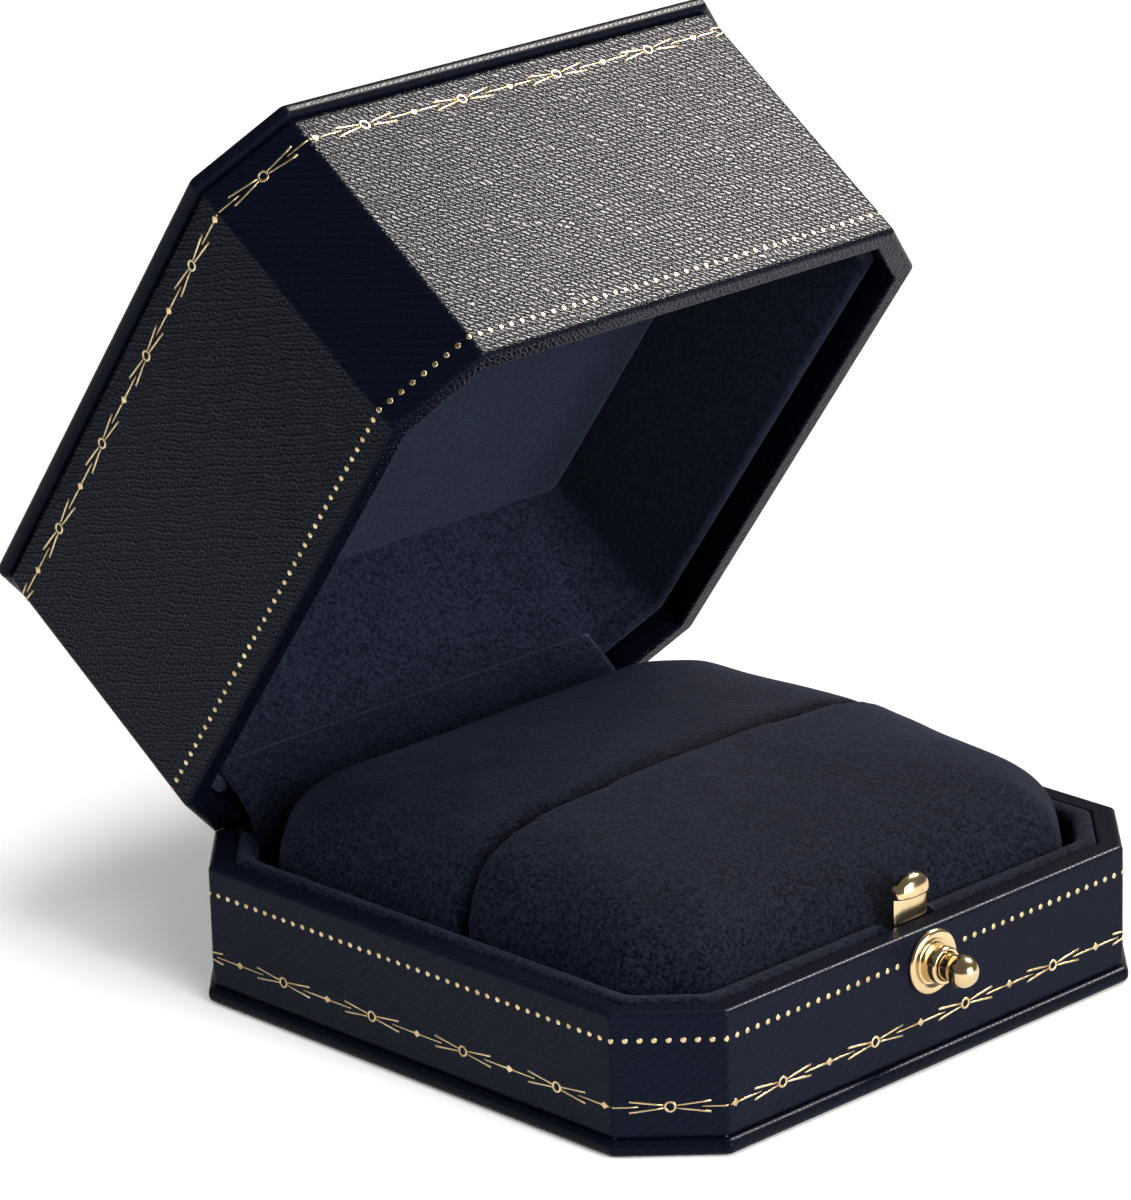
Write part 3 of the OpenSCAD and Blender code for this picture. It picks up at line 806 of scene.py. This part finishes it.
def strip_mesh(name, path, thick, width, columns, wave_height=0.0):
    """A strip of cloth or leather, and its length.

    The path of y-z points runs from the lid down, the thickness is to its left and the width along x.
    """
    mesh = bmesh.new()
    uv = mesh.loops.layers.uv.new("panel")
    count = len(path)
    distance = [0.0]
    for a, b in zip(path, path[1:]):
        distance.append(distance[-1] + (b - a).length)
    front, back, xs = [], [], []
    for c in range(columns + 1):
        x = width * (c / columns - 0.5)
        xs.append(x)
        near_edge = max(0.0, 1 - (width / 2 - abs(x)) / EDGE_ROUND)
        front_row, back_row = [], []
        for i, p in enumerate(path):
            way = path[min(i + 1, count - 1)] - path[max(i - 1, 0)]
            left = Vector((-way.y, way.x)).normalized()
            inset = left * thick * 0.35 * near_edge
            wave = left * ripple((x, distance[i] * 1.6, 0), 7, wave_height)
            face, rear = p + inset + wave, p + left * thick - inset
            front_row.append(mesh.verts.new((x, face.x, face.y)))
            back_row.append(mesh.verts.new((x, rear.x, rear.y)))
        front.append(front_row)
        back.append(back_row)

    def quad(verts, places):
        face = mesh.faces.new(verts)
        for corner, place in zip(face.loops, places):
            corner[uv].uv = place

    for c in range(columns):
        for i in range(count - 1):
            places = ((xs[c], distance[i]), (xs[c], distance[i + 1]),
                      (xs[c + 1], distance[i + 1]), (xs[c + 1], distance[i]))
            quad((front[c][i], front[c][i + 1], front[c + 1][i + 1], front[c + 1][i]), places)
            quad((back[c][i], back[c + 1][i], back[c + 1][i + 1], back[c][i + 1]),
                 (places[0], places[3], places[2], places[1]))
        for i in (0, count - 1):
            ends = (front[c][i], front[c + 1][i], back[c + 1][i], back[c][i])
            quad(ends, ((xs[c], 0), (xs[c + 1], 0), (xs[c + 1], thick), (xs[c], thick)))
    for c in (0, columns):
        for i in range(count - 1):
            quad((front[c][i], back[c][i], back[c][i + 1], front[c][i + 1]),
                 ((0, distance[i]), (thick, distance[i]), (thick, distance[i + 1]), (0, distance[i + 1])))
    return finished(mesh, name), distance[-1]


FLAP_T = 0.5
FLAP_FOOT_Z = 4.4
flap_face = HALF - LINER_IN - 0.6
flap_back = HALF - WALL - 1.2 - 0.55
flap_bend = opened_yz(flap_face, LINER_Z0 + 0.6)
flap_drop = Vector((flap_back, RIM_Z - 0.6))
curve_ends = [flap_bend, opened_yz(flap_face, LID_Z0), Vector((flap_back, RIM_Z + 1.6)), flap_drop]
flap_path = [opened_yz(flap_face, LINER_Z0 + FLAP_GRIP)]
flap_path += [bezier(curve_ends, s / 20) for s in range(21)]
flap_path.append(Vector((flap_back, FLAP_FOOT_Z)))
flap_data, flap_length = strip_mesh("velvet_flap_cloth", resample(flap_path, 0.5), FLAP_T, FLAP_W, 60,
                                    wave_height=0.12)
flap = new_piece("velvet_flap_cloth", flap_data, None, VELVET_LINING_LIT, ["velvet_flap"])
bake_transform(flap)

SPINE_T = 0.29
SPINE_LEG = 7.0
spine_y = HALF + 0.02
spine_low = HINGE.z - (HALF - HINGE.y) * BEVEL_TAN
spine_high = 2 * HINGE.z - spine_low
spine_path = [opened_yz(spine_y, spine_high + SPINE_LEG), opened_yz(spine_y, spine_high + 0.1),
              Vector((spine_y, spine_low - 0.1)), Vector((spine_y, spine_low - SPINE_LEG))]
spine_data, spine_length = strip_mesh("spine_leather", resample(spine_path, 0.4), SPINE_T, SPINE_W, 40)
spine = new_piece("spine_leather", spine_data, None, LEATHER, ["leather_spine"])
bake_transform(spine)


# ---------------------------------------------------------------- gilt tooling
PROUD = 0.06
SUNK = -0.03  # where a mark starts, under the leather's face
FLAT_LEN = 2 * (HALF - CUT)
SLANT_LEN = CUT * math.sqrt(2)
PERIMETER = 4 * (FLAT_LEN + SLANT_LEN)


def panel_point(u):
    """Point and outward direction on the outer faces.

    u runs anticlockwise from the middle of the front flat, in millimetres.
    """
    u = u % PERIMETER
    k = HALF - CUT
    corners = [Vector(p) for p in (
        (0, -HALF), (k, -HALF), (HALF, -k), (HALF, k), (k, HALF),
        (-k, HALF), (-HALF, k), (-HALF, -k), (-k, -HALF))]
    corners.append(corners[0])
    for a, b in zip(corners, corners[1:]):
        span = (b - a).length
        if u <= span + 1e-9:
            way = (b - a).normalized()
            return a + way * u, Vector((way.y, -way.x))
        u -= span
    return corners[0], Vector((0, -1))


class Tooling:
    """Raised gilt marks on the outer faces, gathered in one mesh."""

    def __init__(self):
        self.mesh = bmesh.new()

    def vertex(self, u, z, out):
        """A new vertex at (u, z) on the outer faces, a distance out from them."""
        p, normal = panel_point(u)
        return self.mesh.verts.new((p.x + normal.x * out, p.y + normal.y * out, z))

    def dome(self, u, z, radius):
        """A round stud mark with a soft top."""
        skin(self.mesh, [
            [self.vertex(u + radius * share * math.cos(a), z + radius * share * math.sin(a), out)
             for a in circle_angles(12)]
            for share, out in ((1.0, SUNK), (0.96, PROUD * 0.4), (0.7, PROUD * 0.85), (0.35, PROUD))])

    def outline(self, points):
        """A flat mark with bevelled edges from (u, z) points, anticlockwise seen from outside."""
        middle = Vector((sum(p[0] for p in points), sum(p[1] for p in points))) / len(points)
        tops = [middle + (Vector(p) - middle) * 0.82 for p in points]
        skin(self.mesh, [[self.vertex(*p, out) for p in ring]
                         for ring, out in ((points, SUNK), (points, PROUD * 0.5), (tops, PROUD))])

    def stroke(self, u0, z0, u1, z1, w0, w1):
        """A tapered line from one point to another."""
        a, b = Vector((u0, z0)), Vector((u1, z1))
        way = (b - a).normalized()
        side = Vector((-way.y, way.x))
        count = max(2, int((b - a).length / 0.7))
        middles = [a + (b - a) * s / count for s in range(count + 1)]
        reaches = [side * (w0 + (w1 - w0) * s / count) / 2 for s in range(count + 1)]
        lower = [middle - reach for middle, reach in zip(middles, reaches)]
        upper = [middle + reach for middle, reach in zip(middles, reaches)]
        for i in range(count):
            self.stroke_part(lower[i], lower[i + 1], upper[i + 1], upper[i], i == 0, i == count - 1)

    def stroke_part(self, a, b, c, d, first, last):
        """One length of a stroke, with end faces only where the stroke ends."""
        low = [self.vertex(*p, SUNK) for p in (a, b, c, d)]
        mid_ad, mid_bc = (a + d) / 2, (b + c) / 2
        high = [self.vertex(*p.lerp(mid, 0.3), PROUD * 0.8)
                for p, mid in ((a, mid_ad), (b, mid_bc), (c, mid_bc), (d, mid_ad))]
        for i in range(4):
            k = (i + 1) % 4
            if (i == 1 and not last) or (i == 3 and not first):
                continue
            self.mesh.faces.new((low[i], low[k], high[k], high[i]))
        self.mesh.faces.new(high)
        self.mesh.faces.new(list(reversed(low)))

    def circle(self, u, z, radius, width):
        """An outlined ring."""
        rows = []
        for share, out in ((-0.5, SUNK), (-0.5, PROUD * 0.5), (-0.2, PROUD),
                           (0.2, PROUD), (0.5, PROUD * 0.5), (0.5, SUNK)):
            r = radius + width * share
            rows.append([self.vertex(u + r * math.cos(a), z + r * math.sin(a), out)
                         for a in circle_angles(20)])
        for low, high in zip(rows, rows[1:] + rows[:1]):
            for i in range(len(low)):
                k = (i + 1) % len(low)
                self.mesh.faces.new((low[i], high[i], high[k], low[k]))

    def finish(self, name, body, opened):
        bmesh.ops.remove_doubles(self.mesh, verts=self.mesh.verts, dist=0.001)
        new_piece(name, finished(self.mesh, name), body, GILT, opened=opened)


SLANT_DOTS = 8
JITTER_SEED = 1.3


def dot_row(tooling, z, radius, gap_half=None):
    """Dots with one on every corner edge, evenly spaced between them."""
    starts = [FLAT_LEN / 2]
    for i in range(7):
        starts.append(starts[-1] + (SLANT_LEN if i % 2 == 0 else FLAT_LEN))
    flat_dots = round(FLAT_LEN / (SLANT_LEN / SLANT_DOTS))
    for i, start in enumerate(starts):
        length, number = (SLANT_LEN, SLANT_DOTS) if i % 2 == 0 else (FLAT_LEN, flat_dots)
        for s in range(number):
            u = start + length * s / number
            from_front = min(u % PERIMETER, PERIMETER - u % PERIMETER)
            if gap_half and from_front < gap_half:
                continue
            jitter = noise.noise(Vector((u, z, JITTER_SEED)))
            tooling.dome(u + 0.03 * jitter, z + 0.02 * jitter, radius * (1 + 0.1 * jitter))


UNITS = 21
RING_R, RING_LINE = 0.47, 0.24
LEAF_ROOT, LEAF_TIP = (0.62, 0.14), (3.75, 0.55)  # along the border and up from its middle line
LEAF_LINES = (0.2, 0.26)  # stroke widths at the root and the tip
STEM_ROOT, STEM_GAP = 2.9, 0.35  # where the middle stroke starts, and what it leaves to the lozenge
STEM_LINES = (0.14, 0.24)
LOZENGE = (0.5, 0.42)  # half length and half height


def border(tooling, z):
    """Rings, tapered strokes and lozenges in turn round the box.

    One ring is in the middle of the front left corner.
    """
    pitch = PERIMETER / UNITS
    start = PERIMETER - FLAT_LEN / 2 - SLANT_LEN / 2
    for unit in range(UNITS):
        u = start + unit * pitch
        tooling.circle(u, z, RING_R, RING_LINE)
        for way in (-1, 1):
            for rise in (-1, 1):
                tooling.stroke(u + way * LEAF_ROOT[0], z + rise * LEAF_ROOT[1],
                               u + way * LEAF_TIP[0], z + rise * LEAF_TIP[1], *LEAF_LINES)
            tooling.stroke(u + way * STEM_ROOT, z, u + way * (pitch / 2 - STEM_GAP), z, *STEM_LINES)
        middle = u + pitch / 2
        tooling.outline([(middle - LOZENGE[0], z), (middle, z - LOZENGE[1]),
                         (middle + LOZENGE[0], z), (middle, z + LOZENGE[1])])


DOT_R = 0.29
BASE_DOTS_Z, LID_DOTS_Z = RIM_Z - 2.7, LID_Z0 + 2.48
BASE_BORDER_Z, LID_BORDER_Z = 4.85, LID_Z1 - 2.8
flange_high = box_mm("button_flange")[1]
FLANGE_R = flange_high.x
base_tooling = Tooling()
dot_row(base_tooling, BASE_DOTS_Z, DOT_R, FLANGE_R + 0.2)
border(base_tooling, BASE_BORDER_Z)
base_tooling.finish("base_gilt", "base", False)
lid_tooling = Tooling()
dot_row(lid_tooling, LID_DOTS_Z, DOT_R)
border(lid_tooling, LID_BORDER_Z)
lid_tooling.finish("lid_gilt", "lid", True)


# ---------------------------------------------------------------- brass
LATHE_SIDES = 64
button_low, button_high = box_mm("push_button")
BUTTON_Z = (button_low.z + button_high.z) / 2


def lathe(name, profile):
    """Turned part about the button's axis from (radius, y) points."""
    mesh = bmesh.new()
    rings = []
    for radius, y in profile:
        if radius < 1e-6:
            rings.append([mesh.verts.new((0, y, BUTTON_Z))])
        else:
            rings.append([mesh.verts.new((radius * math.cos(a), y, BUTTON_Z + radius * math.sin(a)))
                          for a in circle_angles(LATHE_SIDES)])
    for low, high in zip(rings, rings[1:]):
        for i in range(LATHE_SIDES):
            k = (i + 1) % LATHE_SIDES
            if len(low) == 1:
                mesh.faces.new((low[0], high[k], high[i]))
            elif len(high) == 1:
                mesh.faces.new((low[i], low[k], high[0]))
            else:
                mesh.faces.new((low[i], low[k], high[k], high[i]))
    bmesh.ops.remove_doubles(mesh, verts=mesh.verts, dist=0.0005)
    return finished(mesh, name)


face = -HALF
SLEEVE_R, SLEEVE_BORE = 1.48, 1.1
flange_profile = [
    # sleeve through the wall and the flange's rim
    (SLEEVE_BORE, flange_high.y), (SLEEVE_R, flange_high.y), (SLEEVE_R, face + 0.1),
    (FLANGE_R - 0.05, face + 0.02), (FLANGE_R, face - 0.06), (FLANGE_R, face - 0.26),
    (FLANGE_R - 0.09, face - 0.4), (FLANGE_R - 0.28, face - 0.5), (FLANGE_R - 0.55, face - 0.54),
    # groove and collar
    (2.4, face - 0.5), (2.22, face - 0.3), (2.02, face - 0.26), (1.88, face - 0.4), (1.86, face - 0.85),
    (1.86, face - 1.75), (1.8, face - 1.92), (1.68, face - 2.02), (1.5, face - 2.02),
    # back down the bore
    (1.44, face - 1.96), (1.42, face - 1.86), (1.42, face - 0.7), (SLEEVE_BORE, face - 0.7)]
flange_profile.append(flange_profile[0])
new_piece("brass_flange", lathe("brass_flange", flange_profile), "base", BRASS,
          ["button_flange"])

BALL_R = 1.6
NECK_R = 1.36
ball_y = face - 3.9
button_profile = [
    (0, button_high.y), (0.95, button_high.y), (1.0, button_high.y - 0.05), (1.0, face - 1.4),
    (1.35, face - 1.45), (1.35, face - 2.15), (1.33, face - 2.35), (1.33, face - 2.6),
    (NECK_R, face - 2.95)]
join = math.asin(NECK_R / BALL_R)
for s in range(17):
    a = join + (math.pi - join) * s / 16
    button_profile.append((BALL_R * math.sin(a) if s < 16 else 0.0, ball_y + BALL_R * math.cos(a)))
new_piece("brass_button", lathe("brass_button", button_profile), "button", BRASS,
          ["push_button"])


def leaf_mesh():
    """Spring leaf: a flat strip that ends in a thumb-shaped hook, domed in front and round on top."""
    low, high = box_mm("catch_leaf")
    back, front, top = high.y, high.y - 0.5, high.z
    reach, lip, round_z = front - low.y, 16.6, 17.0
    # height, bulge, share of the width, lean of the back
    rows = [(z, 0.0, 1.0, 0.0) for z in (low.z, 6, 10, 13, 15, 16, lip)]
    rows += [(lip + 0.04, 0.55, 1.0, 0.0), (lip + 0.1, 0.85, 1.0, 0.0), (lip + 0.22, 0.98, 1.0, 0.0)]
    for s in range(13):
        a = math.radians(87 * s / 12)
        rows.append((round_z + (top - round_z) * math.sin(a), math.cos(a), math.cos(a),
                     0.5 * (1 - math.cos(a)) ** 2))
    columns = 24
    mesh = bmesh.new()
    fronts, backs = [], []
    for z, bulge, share, lean in rows:
        row_f, row_b = [], []
        for c in range(columns + 1):
            t = math.sin(math.pi * (c / columns - 0.5))
            dome = bulge * reach * math.sqrt(max(0.0, 1 - t * t)) ** 0.8
            edge = 0.08 * t ** 8
            row_f.append(mesh.verts.new((t * high.x * share, front - dome + edge, z)))
            row_b.append(mesh.verts.new((t * high.x * share, back - lean * 0.9 - edge, z)))
        fronts.append(row_f)
        backs.append(row_b)
    last = len(rows) - 1
    for j in range(last):
        for c in range(columns):
            mesh.faces.new((fronts[j][c], fronts[j][c + 1], fronts[j + 1][c + 1], fronts[j + 1][c]))
            mesh.faces.new((backs[j][c + 1], backs[j][c], backs[j + 1][c], backs[j + 1][c + 1]))
        mesh.faces.new((backs[j][0], fronts[j][0], fronts[j + 1][0], backs[j + 1][0]))
        mesh.faces.new((fronts[j][-1], backs[j][-1], backs[j + 1][-1], fronts[j + 1][-1]))
    for j, flip in ((0, False), (last, True)):
        for c in range(columns):
            quad = (fronts[j][c], backs[j][c], backs[j][c + 1], fronts[j][c + 1])
            mesh.faces.new(tuple(reversed(quad)) if flip else quad)
    return finished(mesh, "brass_leaf")


new_piece("brass_leaf", leaf_mesh(), "catch", BRASS, ["catch_leaf"], sharp=50)

# ---------------------------------------------------------------- CAD nodes that stay
for node, material in {
    "base_frame": BOARD, "lid_frame": BOARD, "pad_board": BOARD, "ceiling_board": BOARD,
    "hinge_base_leaf": BRASS, "hinge_lid_leaf": BRASS, "hinge_pin": STEEL, "hinge_spring": STEEL,
    "catch_rivets": BRASS, "strike_plate": BRASS, "strike_rivets": BRASS,
}.items():
    piece = frame["nodes"][node]
    piece.data.materials.clear()
    piece.data.materials.append(material)


# ---------------------------------------------------------------- floor and light
FLOOR_M = 3.0  # half its side


def make_floor():
    data = bpy.data.meshes.new("floor")
    corners = [(x * FLOOR_M, y * FLOOR_M, 0) for x, y in ((-1, -1), (1, -1), (1, 1), (-1, 1))]
    data.from_pydata(corners, [], [(0, 1, 2, 3)])
    floor = bpy.data.objects.new("floor", data)
    scene.collection.objects.link(floor)
    n = Nodes("floor")
    data.materials.append(n.set(Base_Color=(0.9, 0.9, 0.9), Roughness=0.9, Specular_IOR_Level=0.1))
    floor.location.z = -0.0001


def area_light(name, direction, distance, size, power, colour=(1, 1, 1)):
    """A square lamp aimed at the box; distance and size in metres, power in watts."""
    data = bpy.data.lights.new(name, "AREA")
    data.shape, data.size, data.size_y = "RECTANGLE", size, size
    data.energy, data.color = power, colour
    lamp = bpy.data.objects.new(name, data)
    scene.collection.objects.link(lamp)
    target = Vector((0, 0, 0.03))
    lamp.location = target + Vector(direction).normalized() * distance
    lamp.rotation_mode = "QUATERNION"
    lamp.rotation_quaternion = (target - lamp.location).to_track_quat("-Z", "Y")
    return lamp


def make_light():
    """Soft studio light. One panel is for gloss only, and three lamps are kept out of reflections."""
    world = bpy.data.worlds.new("studio")
    scene.world = world
    world.use_nodes = True
    background = world.node_tree.nodes["Background"]
    background.inputs["Color"].default_value = (1, 1, 1, 1)
    background.inputs["Strength"].default_value = 0.18
    gloss = area_light("gloss_panel", (0.66, -0.08, 0.74), 0.9, 0.28, 34, (1.0, 0.87, 0.75))
    gloss.visible_diffuse = False
    sky = area_light("overhead", (0.15, -0.27, 1.0), 1.6, 1.0, 20)
    wash = area_light("back_wash", (-1.0, 0.5, 0.6), 1.5, 1.6, 22)
    side = area_light("side_fill", (-0.2, -0.9, 0.4), 1.3, 0.8, 12)
    sky.visible_glossy = wash.visible_glossy = side.visible_glossy = False
    area_light("front_fill", (0.15, -1.0, 0.2), 1.3, 0.8, 26)


make_floor()
make_light()
scene.view_settings.view_transform = "Standard"
